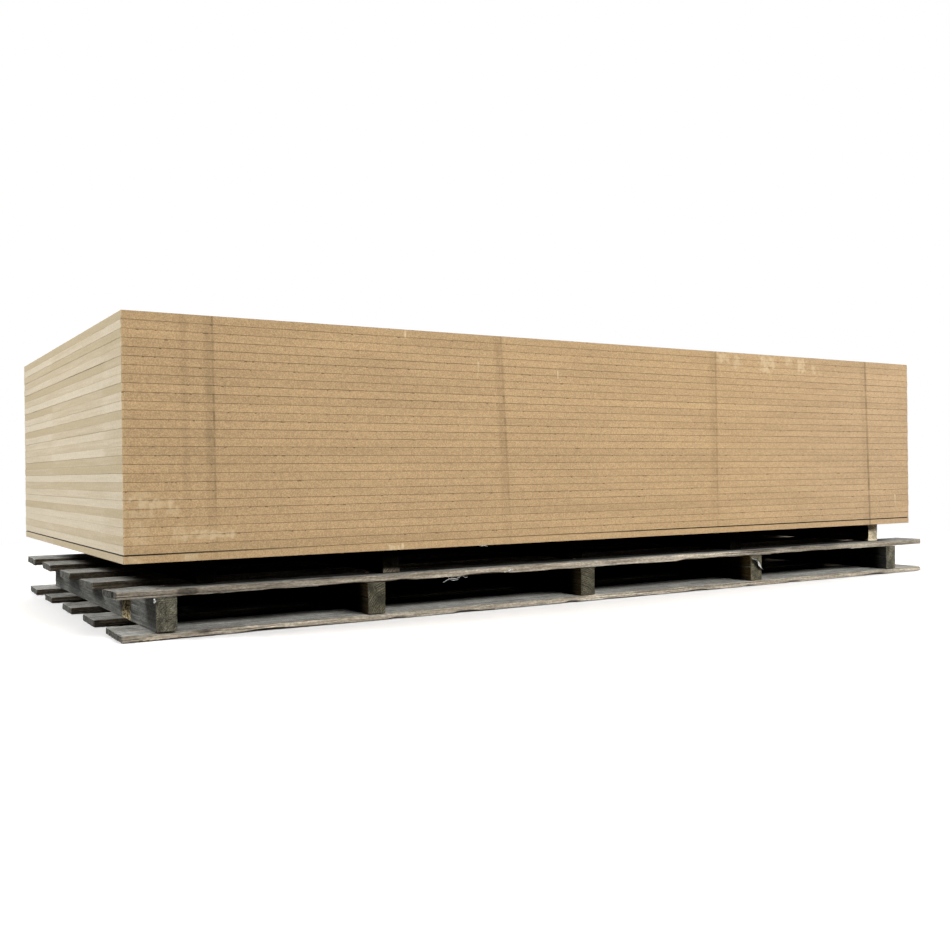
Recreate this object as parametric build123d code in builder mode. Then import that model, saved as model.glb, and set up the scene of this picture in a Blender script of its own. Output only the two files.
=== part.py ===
from build123d import *
from math import radians, sin
import os

# A pack of MDF boards on bearers, on a double-decked timber pallet.
# Millimetres. +X runs along the boards, +Y from the front of the pack to its back, +Z up.
# The origin is on the floor under the middle of the pallet.

# Boards
board_count = 28
board_length = 2440.0
board_width = 1220.0
board_thickness = 18.0
board_arris = 0.5
# The lowest board's upper edge is eased more, which leaves the wide dark seam above it.
seam_arris = 2.4
# Furthest that a board lies out of line in the pack, and the turns of the waves that spread it.
board_slip = 0.35
slip_turn_x = 137.5
slip_turn_y = 85.0
# The pack's middle lies a little to the left of the pallet's middle.
pack_shift = -28.0

# Bearers between the deck and the pack, shorter than the pack is wide. Left to right, shares give
# their middles, and how far each one's front end lies in from the pack's front.
bearer_shortness = 120.0
bearer_width = 45.0
bearer_height = 54.0
bearer_inset = 35.0
bearer_arris = 1.5
bearer_place_shares = (-0.423, -0.250, -0.018, 0.213, 0.447)
bearer_inset_shares = (2.0, 1.0, 2.4, 1.8, 1.0)

# Pallet. Its front is a little behind the pack's.
pallet_length = 2538.0
pallet_width = 1170.0
pallet_front = -600.0
timber_arris = 1.5

# Stringers, on edge across the pallet, set in from its back edge
stringer_setback = 55.0
stringer_width = 45.0
stringer_height = 70.0
stringer_place_shares = (-0.4577, -0.2714, -0.0345, 0.2043, 0.4401)

# Planks of the top deck, front to back: their widths, the places of their front edges across the
# pallet, and how far the front and back corner of each end stop short of the pallet's length
top_plank_width = 112.0
top_plank_thickness = 18.0
top_width_shares = (0.85, 0.97, 1.06, 1.20, 1.35)
top_place_shares = (0.0, 0.192, 0.422, 0.660, 0.859)
plank_end_slip = 25.0
top_left_shares = ((0.28, 0.0), (0.30, 0.10), (0.38, 0.36), (0.48, 0.64), (0.44, 0.66))
top_right_shares = ((0.0, 0.08), (0.30, 0.20), (0.10, 0.0), (0.20, 0.30), (0.40, 0.30))

# Planks of the bottom deck, front to back
bottom_plank_width = 135.0
bottom_plank_thickness = 16.0
bottom_width_shares = (1.13, 0.96, 0.87, 0.74, 1.01)
bottom_place_shares = (0.0, 0.234, 0.460, 0.690, 0.884)
bottom_left_shares = ((0.62, 0.74), (0.78, 0.86), (0.82, 0.86), (0.86, 0.86), (0.78, 0.98))
bottom_right_shares = ((0.08, 0.0), (0.20, 0.30), (0.35, 0.25), (0.10, 0.20), (0.30, 0.20))

# Bark edge along the front plank's lower front corner, near its right end: it starts right of
# the pallet's middle, and rises as the shares say
wane_start = 562.0
wane_length = 390.0
wane_height = 5.5
wane_depth = 26.0
wane_back_share = 0.2
wane_shares = (
    (0.0, 0.0), (0.10, 0.47), (0.23, 0.69), (0.36, 0.31), (0.49, 1.0),
    (0.63, 0.65), (0.77, 0.78), (0.90, 0.33), (1.0, 0.0),
)

# Drying splits in the front plank's left end: place across the plank, and length
split_length = 120.0
split_width = 3.0
split_shares = ((0.36, 1.0), (0.66, 0.6))

# Torn-out place on the outer side of the left stringer, under the second plank's front: it starts
# above the stringer's lower edge, and opens out to its upper edge
tear_length = 86.0
tear_depth = 10.0
tear_place_share = 0.211
tear_low_share = 0.13
tear_foot_share = 0.4

# Room that a cut runs past the faces that it opens
overrun = 5.0

# Heights of the layers, floor to top
stringer_floor = bottom_plank_thickness
deck_floor = stringer_floor + stringer_height
bearer_floor = deck_floor + top_plank_thickness
pack_floor = bearer_floor + bearer_height

os.makedirs("parts", exist_ok=True)


def save(piece, name):
    """Label a finished piece and write it under that name."""
    piece.part.label = name
    export_step(piece.part, f"parts/{name}.step")


def timber(low, size, arris):
    """A sawn timber along Y with its lowest corner at low, eased along its long edges."""
    middle_x = low[0] + size[0] / 2
    middle_y = low[1] + size[1] / 2
    with BuildPart() as piece:
        with BuildSketch(Plane.XY.offset(low[2])):
            with Locations((middle_x, middle_y)):
                Rectangle(size[0], size[1])
        extrude(amount=size[2])
        chamfer(piece.edges().filter_by(Axis.Y), length=arris)
    return piece


def plank(front, own_width, floor, thickness, left_corners, right_corners):
    """A deck plank along X, its ends sawn a little out of square, eased along its long edges."""
    back = front + own_width
    reach = pallet_length / 2
    left_front, left_back = (plank_end_slip * share - reach for share in left_corners)
    right_front, right_back = (reach - plank_end_slip * share for share in right_corners)
    with BuildPart() as piece:
        with BuildSketch(Plane.XY.offset(floor)):
            with BuildLine():
                Polyline(
                    (left_front, front),
                    (right_front, front),
                    (right_back, back),
                    (left_back, back),
                    close=True,
                )
            make_face()
        extrude(amount=thickness)
        chamfer(piece.edges().filter_by(Axis.X), length=timber_arris)
    return piece


def tear_out(stringer, outer_side):
    """Tear a shallow hollow out of a stringer's outer side, deepest at its upper edge."""
    middle = pallet_front + pallet_width * tear_place_share
    foot = stringer_floor + stringer_height * tear_low_share
    with BuildPart() as torn:
        add(stringer.part)
        for level, share in ((foot, tear_foot_share), (deck_floor + overrun, 1)):
            half = tear_length * share / 2
            with BuildSketch(Plane.XY.offset(level)):
                with BuildLine():
                    hollow = ThreePointArc(
                        (outer_side, middle - half),
                        (outer_side + tear_depth * share, middle),
                        (outer_side, middle + half),
                    )
                    Polyline(
                        hollow @ 1,
                        (outer_side - overrun, middle + half),
                        (outer_side - overrun, middle - half),
                        hollow @ 0,
                    )
                make_face()
        loft(mode=Mode.SUBTRACT)
    return torn


def wane(whole, front):
    """Take a wavy strip of bark edge off a deck plank's lower front corner."""
    cuts = ((front - overrun, wane_height), (front + wane_depth, wane_height * wane_back_share))
    with BuildPart() as waney:
        add(whole.part)
        for station, height in cuts:
            with BuildSketch(Plane.XZ.offset(-station)):
                with BuildLine():
                    wave = Spline(
                        *(
                            (wane_start + wane_length * along, deck_floor + height * rise)
                            for along, rise in wane_shares
                        )
                    )
                    Polyline(
                        wave @ 1,
                        (wane_start + wane_length, deck_floor - overrun),
                        (wane_start, deck_floor - overrun),
                        wave @ 0,
                    )
                make_face()
        loft(mode=Mode.SUBTRACT)
    return waney


def split_end(whole, front, own_width):
    """Open the drying splits that run in from a deck plank's left end and close along its grain."""
    left = -pallet_length / 2
    with BuildPart() as cracked:
        add(whole.part)
        with BuildSketch(Plane.XY.offset(deck_floor)):
            for place_share, reach_share in split_shares:
                middle = front + own_width * place_share
                with BuildLine():
                    Polyline(
                        (left, middle - split_width / 2),
                        (left + split_length * reach_share, middle),
                        (left, middle + split_width / 2),
                        close=True,
                    )
                make_face()
        extrude(amount=top_plank_thickness, mode=Mode.SUBTRACT)
    return cracked


# Bottom deck
for number, width_share in enumerate(bottom_width_shares):
    bottom_plank = plank(
        pallet_front + pallet_width * bottom_place_shares[number],
        bottom_plank_width * width_share,
        0,
        bottom_plank_thickness,
        bottom_left_shares[number],
        bottom_right_shares[number],
    )
    save(bottom_plank, f"bottom_plank_{number + 1}")

# Stringers. The left one is torn on its outer side.
for number, place_share in enumerate(stringer_place_shares):
    outer_side = pallet_length * place_share - stringer_width / 2
    stringer = timber(
        (outer_side, pallet_front, stringer_floor),
        (stringer_width, pallet_width - stringer_setback, stringer_height),
        timber_arris,
    )
    if number == 0:
        stringer = tear_out(stringer, outer_side)
    save(stringer, f"stringer_{number + 1}")

# Top deck. The front plank has a bark edge, and its left end is split.
for number, width_share in enumerate(top_width_shares):
    front = pallet_front + pallet_width * top_place_shares[number]
    own_width = top_plank_width * width_share
    top_plank = plank(
        front,
        own_width,
        deck_floor,
        top_plank_thickness,
        top_left_shares[number],
        top_right_shares[number],
    )
    if number == 0:
        top_plank = wane(top_plank, front)
        top_plank = split_end(top_plank, front, own_width)
    save(top_plank, f"top_plank_{number + 1}")

# Bearers, across the pallet under the pack
bearer_length = board_width - bearer_shortness
for number, place_share in enumerate(bearer_place_shares):
    side = pack_shift + board_length * place_share - bearer_width / 2
    front_end = bearer_inset * bearer_inset_shares[number] - board_width / 2
    bearer = timber(
        (side, front_end, bearer_floor),
        (bearer_width, bearer_length, bearer_height),
        bearer_arris,
    )
    save(bearer, f"bearer_{number + 1}")

# Boards, bottom to top, each a little out of line with its neighbours
for number in range(board_count):
    slip_x = board_slip * sin(radians(slip_turn_x * number))
    slip_y = board_slip * sin(radians(slip_turn_y * number))
    with BuildPart() as board:
        with BuildSketch(Plane.XY.offset(pack_floor + board_thickness * number)):
            with Locations((pack_shift + slip_x, slip_y)):
                Rectangle(board_length, board_width)
        extrude(amount=board_thickness)
        upper_edges = board.faces().sort_by(Axis.Z)[-1].edges()
        lower_edges = board.faces().sort_by(Axis.Z)[0].edges()
        chamfer(upper_edges, length=seam_arris if number == 0 else board_arris)
        chamfer(lower_edges, length=board_arris)
    save(board, f"board_{number + 1:02d}")
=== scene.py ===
"""A pack of raw MDF boards on bearers and a weathered timber pallet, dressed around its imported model."""

import itertools
import math
from types import SimpleNamespace

import bpy
import numpy as np
from mathutils import Matrix, Vector
from mathutils.bvhtree import BVHTree


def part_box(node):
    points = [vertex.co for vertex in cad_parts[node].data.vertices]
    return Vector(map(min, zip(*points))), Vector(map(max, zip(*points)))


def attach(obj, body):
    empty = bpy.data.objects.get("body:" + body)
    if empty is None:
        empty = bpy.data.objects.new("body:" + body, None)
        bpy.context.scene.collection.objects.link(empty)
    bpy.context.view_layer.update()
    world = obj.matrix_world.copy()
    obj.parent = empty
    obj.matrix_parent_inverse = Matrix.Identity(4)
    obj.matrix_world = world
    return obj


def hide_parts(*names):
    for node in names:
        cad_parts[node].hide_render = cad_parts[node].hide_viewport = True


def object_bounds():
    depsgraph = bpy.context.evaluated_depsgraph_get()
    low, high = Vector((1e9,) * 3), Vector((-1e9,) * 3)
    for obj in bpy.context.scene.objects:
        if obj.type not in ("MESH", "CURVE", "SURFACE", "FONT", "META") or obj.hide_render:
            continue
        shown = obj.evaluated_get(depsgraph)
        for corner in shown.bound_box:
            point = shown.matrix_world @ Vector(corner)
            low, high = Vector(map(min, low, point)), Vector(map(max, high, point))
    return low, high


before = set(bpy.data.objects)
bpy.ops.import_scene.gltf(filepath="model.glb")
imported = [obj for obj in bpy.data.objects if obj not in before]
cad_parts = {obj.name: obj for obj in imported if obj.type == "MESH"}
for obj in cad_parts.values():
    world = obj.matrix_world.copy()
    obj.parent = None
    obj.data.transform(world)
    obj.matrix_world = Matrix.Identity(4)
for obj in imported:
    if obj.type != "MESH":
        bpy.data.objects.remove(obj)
cad_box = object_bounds()


def named(start):
    """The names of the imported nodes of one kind, in order."""
    return sorted(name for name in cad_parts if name.startswith(start))


BOARDS = named("board_")
BEARERS = named("bearer_")
TOP_PLANKS = named("top_plank_")
BOTTOM_PLANKS = named("bottom_plank_")
STRINGERS = named("stringer_")

# The pack's box, in metres, from the frame
PACK_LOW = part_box(BOARDS[0])[0]
PACK_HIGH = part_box(BOARDS[-1])[1]
PACK_HEIGHT = PACK_HIGH.z - PACK_LOW.z
BOARD_THICKNESS = PACK_HEIGHT / len(BOARDS)
PACK_MIDDLE_X = (PACK_LOW.x + PACK_HIGH.x) / 2
# The pallet's outline, and the underside and top of its upper deck
PALLET_LOW = Vector((cad_box[0][0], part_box(BOTTOM_PLANKS[0])[0].y, 0.0))
PALLET_HIGH = Vector((cad_box[1][0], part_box(BOTTOM_PLANKS[-1])[1].y, PACK_LOW.z))
DECK_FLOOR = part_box(TOP_PLANKS[0])[0].z
DECK_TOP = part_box(TOP_PLANKS[0])[1].z
DECK_BLUR = 0.004

# Camera: place from the pack's middle and underside, heading from +Y towards +X, lens
CAMERA_FROM_PACK = Vector((-1.7085, -2.7367, 0.173))
CAMERA_HEADING = math.radians(31.54)
CAMERA_PITCH = math.radians(-0.095)
CAMERA_ROLL = math.radians(-0.63)
CAMERA_SENSOR_MM = 36.0
CAMERA_CLIP = 200.0
FRAME_PIXELS = 950
FOCAL_PIXELS = 1047.0

# Lamps: place, the point that each faces, size and power
LAMPS = {
    "front": ((1.8, -6.2, 4.0), (0.1, -0.6, 0.30), (5.0, 2.4), 612.0),
    "left": ((-6.2, 1.2, 3.8), (-1.2, 0.0, 0.3), (2.8, 1.2), 416.0),
    "right": ((7.0, 0.5, 3.2), (1.0, 0.0, 0.3), (3.0, 2.5), 208.0),
    "back": ((0.5, 7.2, 3.2), (0.0, 0.6, 0.3), (5.0, 2.6), 350.0),
}
SKY_OVERHEAD = 0.28
SKY_LEFT = 0.26

# Colours, linear
WHITE = (1.0, 1.0, 1.0)
FRONT_TAN = (0.515, 0.350, 0.184)
RIGHT_TAN = (0.515, 0.357, 0.203)
END_PALE = (0.69, 0.60, 0.455)
END_DARK = (0.525, 0.43, 0.28)
FACE_TAN = (0.49, 0.355, 0.215)
JOINT_BROWN = (0.09, 0.058, 0.027)
SEAM_SHADE_BLACK = (0.010, 0.008, 0.006)
STRAP_BROWN = (0.17, 0.112, 0.052)
# Pale dust for the scuffs, and for the painted highlight on the near corner
DUST_AND_HIGHLIGHT = (0.74, 0.590, 0.370)
CHIP_TAN = (0.36, 0.31, 0.23)
GRIME = (0.045, 0.041, 0.033)
CRACK_BLACK = (0.014, 0.012, 0.009)
TORN_DARK = (0.055, 0.044, 0.020)
TORN_PALE = (0.70, 0.56, 0.30)
FILM_DIRTY = (0.24, 0.24, 0.225)
FILM_WHITE = (0.90, 0.91, 0.90)
RUST = (0.10, 0.052, 0.028)
STEEL = (0.20, 0.17, 0.15)
FLOOR_PALE = (1.10, 1.10, 1.10)
FLOOR_SHADED = (0.012, 0.012, 0.012)
FLOOR_BOUNCE = (0.09, 0.09, 0.09)

SPECULAR = 0.25


class Shader:
    """The node tree of a material or a world. Each method adds a node and gives back its output socket."""

    def __init__(self, owner):
        owner.use_nodes = True
        self.owner = owner
        self.tree = owner.node_tree

    def feed(self, socket, value):
        if isinstance(value, bpy.types.NodeSocket):
            self.tree.links.new(value, socket)
        elif socket.type == "RGBA":
            socket.default_value = (*value, 1.0)
        else:
            socket.default_value = value

    def node(self, kind, inputs, output=0, **settings):
        made = self.tree.nodes.new("ShaderNode" + kind)
        for key, value in settings.items():
            setattr(made, key, value)
        for key, value in inputs.items():
            self.feed(made.inputs[key], value)
        return made.outputs[output]

    def calc(self, operation, *values):
        return self.node("Math", dict(enumerate(values)), operation=operation)

    def add(self, a, b):
        return self.calc("ADD", a, b)

    def minus(self, a, b):
        return self.calc("SUBTRACT", a, b)

    def times(self, a, b):
        return self.calc("MULTIPLY", a, b)

    def apart(self, a, b):
        """How far two values lie apart."""
        return self.calc("ABSOLUTE", self.minus(a, b))

    def fade(self, value, low, high, start=0.0, end=1.0):
        """Smooth step: start where value is under low, end where it is over high."""
        inputs = {"Value": value, "From Min": low, "From Max": high, "To Min": start, "To Max": end}
        return self.node("MapRange", inputs, interpolation_type="SMOOTHSTEP")

    def vary(self, light, value, low, high, start, end):
        """A brightness times a smooth step."""
        return self.times(light, self.fade(value, low, high, start, end))

    def mix(self, share, first, second):
        inputs = {0: share, 6: first, 7: second}
        return self.node("Mix", inputs, output=2, data_type="RGBA")

    def between(self, share, first, second):
        """A number that goes from first to second."""
        return self.node("Mix", {0: share, 2: first, 3: second}, data_type="FLOAT")

    def shade(self, base, brightness):
        """A colour times a brightness."""
        return self.node("VectorMath", {0: base, "Scale": brightness}, operation="SCALE")

    def vector(self, x, y, z):
        return self.node("CombineXYZ", {0: x, 1: y, 2: z})

    def stretch(self, coords, factors):
        return self.node("VectorMath", {0: coords, 1: factors}, operation="MULTIPLY")

    def length(self, coords):
        return self.node("VectorMath", {0: coords}, output="Value", operation="LENGTH")

    def noise(self, coords, scale, detail=2.0, roughness=0.5):
        inputs = {"Vector": coords, "Scale": scale, "Detail": detail, "Roughness": roughness}
        return self.node("TexNoise", inputs)

    def spread(self, value):
        """A value from 0 to 1 that is different for each whole number."""
        return self.node("TexWhiteNoise", {"W": value}, noise_dimensions="1D")

    def split(self, coords):
        made = self.tree.nodes.new("ShaderNodeSeparateXYZ")
        self.feed(made.inputs[0], coords)
        return made.outputs[0], made.outputs[1], made.outputs[2]

    def place(self):
        """Coordinates in the row's frame, in metres."""
        return self.node("TexCoord", {}, output="Object")

    def facing(self):
        return self.split(self.node("TexCoord", {}, output="Normal"))

    def attribute(self, name, output):
        return self.node("Attribute", {}, output=output, attribute_name=name)

    def seen(self):
        """1 for what the camera sees, directly, in a reflection or through a clear piece."""
        path = self.tree.nodes.new("ShaderNodeLightPath").outputs
        direct = self.calc("MAXIMUM", path["Is Camera Ray"], path["Is Glossy Ray"])
        return self.calc("MAXIMUM", direct, path["Is Transmission Ray"])

    def surface(self, key):
        """An input of the material's own surface shader."""
        return self.tree.nodes["Principled BSDF"].inputs[key]

    def bump(self, height, depth, strength=1.0):
        """Relief of that depth, in metres, under the surface."""
        inputs = {"Strength": strength, "Distance": depth, "Height": height}
        self.feed(self.surface("Normal"), self.node("Bump", inputs))

    def paint(self, base, roughness, specular=SPECULAR):
        self.feed(self.surface("Base Color"), base)
        self.feed(self.surface("Roughness"), roughness)
        self.feed(self.surface("Specular IOR Level"), specular)
        return self.owner


def new_material(name):
    """An empty material's shader."""
    return Shader(bpy.data.materials.new(name))


# Strap marks on the pack's front: place along X from the pack's middle, at the pack's top and at
# its underside, half width, strength, and the share of it that is left near the underside
STRAP_MARKS = (
    (-1.037, -1.032, 0.0026, 1.0, 0.30),
    (-1.045, -1.040, 0.0100, 0.54, 0.30),
    (-1.098, -1.090, 0.0080, 0.28, 0.30),
    (-0.326, -0.302, 0.0036, 0.70, 0.40),
    (-0.335, -0.312, 0.0110, 0.42, 0.40),
    (0.384, 0.387, 0.0036, 0.70, 0.35),
    (0.373, 0.376, 0.0130, 0.32, 0.35),
    (1.014, 1.032, 0.0046, 1.0, 0.90),
    (1.000, 1.018, 0.0120, 0.24, 0.90),
)
# Where the marks fade, as a share of the pack's height from its top, and how dark they all are
STRAP_FADE = (0.60, 0.92)
STRAP_STRENGTH = 0.76
# Pale scuffs and scratches on the front: middle along X from the pack's middle, height over its
# underside, half sizes and strength
SCUFFS = (
    (-1.160, 0.118, 0.045, 0.010, 0.60),
    (-1.180, 0.136, 0.028, 0.007, 0.34),
    (-1.182, 0.098, 0.034, 0.008, 0.36),
    (-1.124, 0.101, 0.016, 0.008, 0.30),
    (-1.045, 0.052, 0.050, 0.009, 0.58),
    (-1.110, 0.060, 0.014, 0.016, 0.32),
    (-1.189, 0.060, 0.018, 0.026, 0.28),
    (-1.084, 0.010, 0.022, 0.008, 0.42),
    (-1.198, 0.008, 0.012, 0.008, 0.50),
    (0.411, 0.488, 0.026, 0.014, 0.50),
    (0.468, 0.482, 0.015, 0.018, 0.46),
    (0.581, 0.475, 0.020, 0.024, 0.56),
    (0.608, 0.484, 0.012, 0.018, 0.50),
    (0.676, 0.488, 0.014, 0.014, 0.44),
    (0.731, 0.480, 0.016, 0.020, 0.54),
    (0.781, 0.470, 0.008, 0.018, 0.44),
    (-0.587, 0.496, 0.0020, 0.012, 1.0),
    (-0.391, 0.424, 0.0016, 0.014, 0.80),
    (-0.156, 0.417, 0.0020, 0.012, 0.70),
    (1.154, 0.074, 0.0030, 0.018, 0.70),
    (-0.621, 0.007, 0.0150, 0.005, 0.80),
    (-0.600, 0.011, 0.0040, 0.008, 0.90),
)
# Where the front's tan turns to that of its right end, from the pack's middle
TAN_TURN = (0.30, 1.20)
# The one open joint on the left end: its number from the pack's underside, and where it starts and
# stops on Y
OPEN_JOINT = 23.0
OPEN_JOINT_START = (-0.48, -0.44)
OPEN_JOINT_STOP = (-0.12, 0.02)
# Painted shade in the seam over the lowest board: where it fades out and comes back again along the front,
# from the pack's middle, how much of it still shows between, and its two edges, in boards up from the
# pack's underside
SEAM_CLOSES = (-1.18, -0.70)
SEAM_OPENS = (-0.50, 0.35)
SEAM_CLOSED = 0.10
SEAM_FOOT = (0.845, 0.875)
SEAM_HEAD = (1.01, 1.03)
# Where the boards' tones change along the left end, on Y, and how softly
END_ZONES = (-0.445, 0.160)
ZONE_BLUR = 0.030
# How much of a board end's tone is its own, and how much is its zone's
OWN_SHARE = 0.72
ZONE_SHARE = 0.28


def mdf_places(s):
    """Where a point of the pack lies, which way it faces, its board, and the noise its edges share."""
    p = SimpleNamespace(place=s.place())
    p.x, p.y, p.z = s.split(p.place)
    p.from_middle = s.minus(p.x, PACK_MIDDLE_X)
    p.along = s.add(p.x, p.y)
    facing_x, facing_y, facing_z = s.facing()
    p.on_end = s.fade(s.calc("ABSOLUTE", facing_x), 0.45, 0.65)
    p.on_face = s.fade(s.calc("ABSOLUTE", facing_z), 0.75, 0.9)
    p.on_front = s.fade(facing_y, -0.65, -0.45, 1, 0)
    p.level = s.calc("DIVIDE", s.minus(p.z, PACK_LOW.z), BOARD_THICKNESS)
    p.board = s.calc("FLOOR", p.level)
    across = s.calc("FRACT", p.level)
    p.under_top = s.times(s.minus(1, across), BOARD_THICKNESS)
    p.from_joint = s.calc("MINIMUM", s.times(across, BOARD_THICKNESS), p.under_top)
    p.speckle = s.noise(p.place, 300, 2, 0.65)
    p.grit = s.noise(p.place, 900, 1)
    p.saw = s.noise(s.vector(s.times(p.along, 9), s.times(p.z, 420), 0), 1, 2, 0.6)
    return p


def strap_smears(s, p):
    """How dark the straps have rubbed the front, stronger on some boards than on others."""
    from_top = s.calc("DIVIDE", s.minus(PACK_HIGH.z, p.z), PACK_HEIGHT)
    smears = 0.0
    for number, (top, foot, half, strength, left) in enumerate(STRAP_MARKS):
        middle = s.add(s.times(from_top, foot - top), top)
        line = s.fade(s.apart(p.from_middle, middle), half * 0.25, half * 1.6, strength, 0)
        line = s.vary(line, s.spread(s.add(p.board, 100 + 60 * number)), 0, 1, 0.55, 1)
        cloud = s.noise(s.vector(float(number), 0, s.times(p.z, 30)), 1)
        line = s.vary(line, cloud, 0.3, 0.7, 0.6, 1)
        line = s.vary(line, from_top, *STRAP_FADE, 1, left)
        smears = s.calc("MAXIMUM", smears, line)
    return s.times(smears, p.on_front)


def scuff_cover(s, p):
    """How far pale scuffs cover the front, brushed up and down and broken by the fibres."""
    pale = 0.0
    ragged = s.fade(s.noise(p.place, 75, 3, 0.6), 0.25, 0.75, -0.55, 0.55)
    for middle_x, height, half_x, half_z, strength in SCUFFS:
        out_x = s.calc("DIVIDE", s.apart(p.from_middle, middle_x), half_x)
        out_z = s.calc("DIVIDE", s.apart(p.z, PACK_LOW.z + height), half_z)
        out = s.add(s.calc("MAXIMUM", out_x, out_z), ragged)
        pale = s.calc("MAXIMUM", pale, s.fade(out, 0.5, 1.15, strength, 0))
    brush = s.noise(s.stretch(p.place, (150, 150, 55)), 1, 4, 0.65)
    return s.times(s.vary(pale, brush, 0.34, 0.60, 0.40, 1), p.on_front)


def front_colour(s, p, scuffs):
    """Long edges: coarse fibre speckle, soft blotches, the tone of each board, straps and scuffs."""
    flake = s.noise(p.place, 130, 1)
    blotch = s.noise(s.stretch(p.place, (4, 4, 22)), 1, 4, 0.6)
    light = s.fade(p.speckle, 0.34, 0.66, 0.84, 1.16)
    light = s.vary(light, flake, 0.36, 0.64, 0.95, 1.05)
    light = s.vary(light, p.grit, 0.30, 0.70, 0.93, 1.07)
    light = s.vary(light, blotch, 0.30, 0.70, 0.95, 1.05)
    light = s.vary(light, p.saw, 0.30, 0.70, 0.97, 1.03)
    light = s.vary(light, s.spread(p.board), 0, 1, 0.965, 1.035)
    front = s.shade(s.mix(s.fade(p.from_middle, *TAN_TURN), FRONT_TAN, RIGHT_TAN), light)
    front = s.mix(s.times(strap_smears(s, p), STRAP_STRENGTH), front, STRAP_BROWN)
    return s.mix(scuffs, front, DUST_AND_HIGHLIGHT)


def end_band(s, p):
    """How pale a board's end is: bands one or two boards deep, which change at the same two places."""
    pair = s.calc("FLOOR", s.times(s.add(p.board, 1), 0.5))
    turns = s.fade(s.calc("SINE", s.times(p.board, 2.25)), -1, 1)
    own = s.add(s.times(turns, 0.45), s.times(s.spread(s.add(p.board, 41)), 0.30))
    own = s.add(own, s.times(s.spread(s.add(pair, 83)), 0.25))
    near, middle, far = (s.spread(s.add(p.board, first)) for first in (120, 160, 200))
    past_first, past_second = (s.fade(p.y, zone - ZONE_BLUR, zone + ZONE_BLUR) for zone in END_ZONES)
    zoned = s.between(past_second, s.between(past_first, near, middle), far)
    wisp = s.noise(s.vector(s.times(p.along, 4), s.times(p.z, 120), 0), 1, 4, 0.65)
    band = s.add(s.times(own, OWN_SHARE), s.times(zoned, ZONE_SHARE))
    return s.add(band, s.fade(wisp, 0.3, 0.7, -0.09, 0.09))


def end_colour(s, p):
    """Ends: pale and dark bands, finer speckle, and one joint that gapes."""
    light = s.fade(p.speckle, 0.34, 0.66, 0.925, 1.075)
    light = s.vary(light, p.saw, 0.3, 0.7, 0.975, 1.025)
    light = s.vary(light, p.y, -0.10, 0.60, 1, 0.93)
    ends = s.shade(s.mix(s.fade(end_band(s, p), 0.22, 0.78), END_DARK, END_PALE), light)
    gap = s.fade(s.apart(p.level, OPEN_JOINT), 0.02, 0.07, 0.55, 0)
    gap = s.vary(gap, p.y, *OPEN_JOINT_START, 0, 1)
    gap = s.vary(gap, p.y, *OPEN_JOINT_STOP, 1, 0)
    return s.mix(gap, ends, JOINT_BROWN)


def face_colour(s, p):
    """Sanded faces: soft clouds and fine fibre."""
    cloud = s.noise(p.place, 3, 5, 0.6)
    fibre = s.noise(p.place, 180, 4, 0.6)
    light = s.vary(s.fade(cloud, 0.3, 0.7, 0.94, 1.06), fibre, 0.3, 0.7, 0.92, 1.08)
    return s.shade(FACE_TAN, light)


def corner_highlight_and_wear(s, p):
    """How pale the pack's near upright corner is: a painted highlight along the edge, and rubbed wear."""
    from_corner = s.calc("MAXIMUM", s.minus(p.x, PACK_LOW.x), s.minus(p.y, PACK_LOW.y))
    rubbed = s.noise(s.times(p.z, 60), 1)
    return s.vary(s.fade(from_corner, 0.0010, 0.0045, 0.30, 0), rubbed, 0.3, 0.6, 0.25, 1)


def joint_cover(s, p, scuffs):
    """How dark the joints are: thin, broken and dotted with chips, hardly there on the ends."""
    chip = s.noise(s.vector(s.times(p.along, 34), s.times(p.board, 5.1), 0), 1, 3, 0.7)
    line = s.vary(s.fade(p.from_joint, 0.0003, 0.0010, 1, 0), chip, 0.30, 0.65, 0.50, 1)
    spots = s.noise(s.vector(s.times(p.along, 85), s.times(p.board, 9.7), 0), 1, 1)
    spot = s.vary(s.fade(spots, 0.63, 0.71, 0, 0.75), p.under_top, 0.0014, 0.0030, 1, 0)
    joint = s.calc("MAXIMUM", s.times(line, 0.58), spot)
    joint = s.vary(joint, p.on_end, 0, 1, 1, 0.06)
    joint = s.vary(joint, p.on_face, 0, 1, 1, 0)
    return s.vary(joint, scuffs, 0.10, 0.50, 1, 0.40)


def seam_shade(s, p):
    """How dark the painted shade in the seam over the lowest board is. Along the front it fades out and
    comes back.
    """
    seam = s.vary(s.fade(p.level, *SEAM_FOOT), p.level, *SEAM_HEAD, 1, 0)
    seam = s.vary(seam, p.on_face, 0, 1, 1, 0)
    closing = s.fade(p.from_middle, *SEAM_CLOSES, 1, SEAM_CLOSED)
    opening = s.fade(p.from_middle, *SEAM_OPENS, SEAM_CLOSED, 1)
    return s.times(seam, s.between(p.on_front, 1, s.calc("MAXIMUM", closing, opening)))


def mdf_material():
    """Raw MDF: tan sawn long edges, paler ends that differ board by board, sanded faces."""
    s = new_material("mdf")
    p = mdf_places(s)
    scuffs = scuff_cover(s, p)
    base = s.mix(p.on_end, front_colour(s, p, scuffs), end_colour(s, p))
    # The near upright corner: rubbed wear and a painted highlight.
    base = s.mix(corner_highlight_and_wear(s, p), base, DUST_AND_HIGHLIGHT)
    base = s.mix(p.on_face, base, face_colour(s, p))
    base = s.mix(joint_cover(s, p, scuffs), base, JOINT_BROWN)
    # Painted shade in the seam over the lowest board.
    base = s.mix(seam_shade(s, p), base, SEAM_SHADE_BLACK)
    s.bump(s.add(s.times(p.speckle, 0.7), s.times(p.grit, 0.3)), 0.0008, 0.6)
    return s.paint(base, 0.9)


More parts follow.
